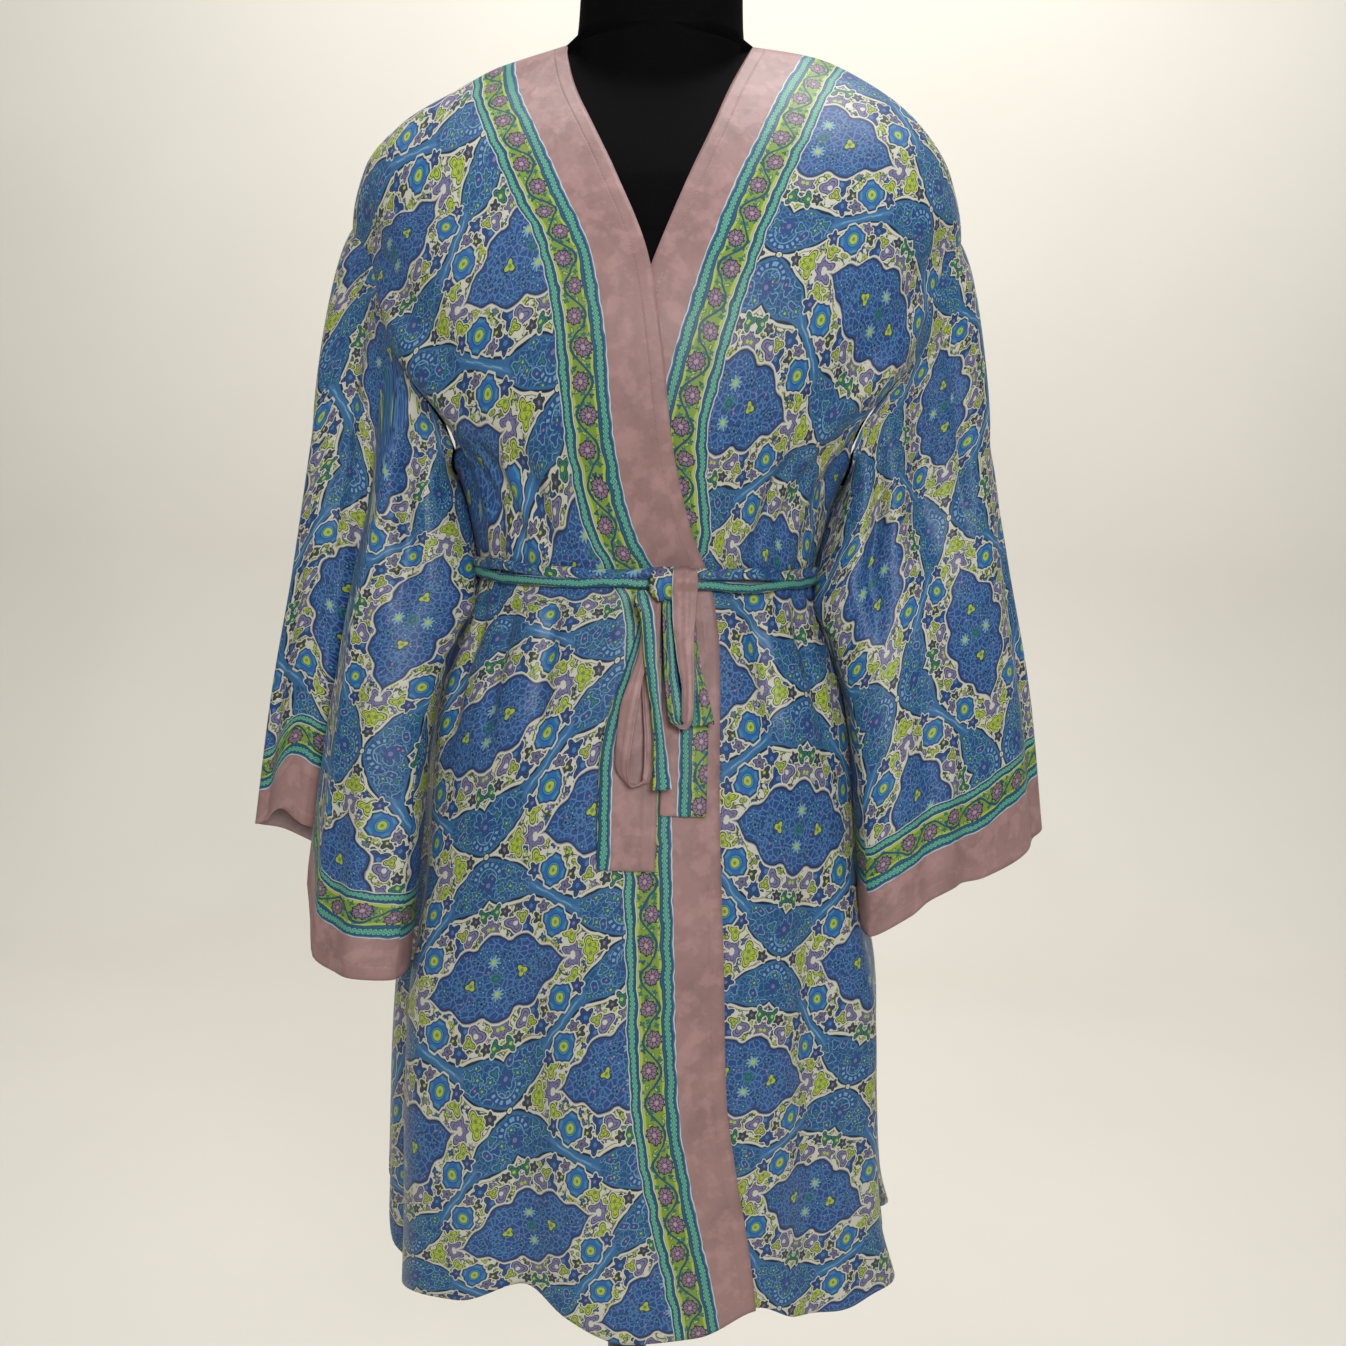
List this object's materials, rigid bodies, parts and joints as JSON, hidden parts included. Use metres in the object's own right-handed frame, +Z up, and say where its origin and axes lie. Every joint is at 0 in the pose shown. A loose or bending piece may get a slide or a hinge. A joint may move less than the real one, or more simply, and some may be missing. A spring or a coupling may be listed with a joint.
{
  "type": "kimono robe on dress form",
  "caption": "Knee-length kimono robe with wide hanging sleeves and a tied sash, worn on a limbless dress form on a pole with a round base.",
  "frame": {"origin": "on the floor, under the middle of the base", "axes": "+Z up; the robe's front faces -Y; +X is the viewer's right from the front"},
  "size_m": [0.5904, 0.36, 1.4903],
  "materials": {
    "printed_silk": "light silky crepe, printed",
    "sash_silk": "light silky crepe, plain",
    "form_black": "matte black"
  },
  "bodies": {
    "root": {"front_over": "printed_silk", "front_under": "printed_silk", "back": "printed_silk", "sleeve_left": "printed_silk", "sleeve_right": "printed_silk", "sash_band": "sash_silk", "sash_knot": "sash_silk", "sash_tail_left": "sash_silk", "sash_tail_right": "sash_silk", "sash_bow_left": "sash_silk", "sash_bow_right": "sash_silk", "form_torso": "form_black", "form_neck_cap": "form_black", "form_pole": "form_black", "form_base": "form_black"}
  },
  "joints": []
}
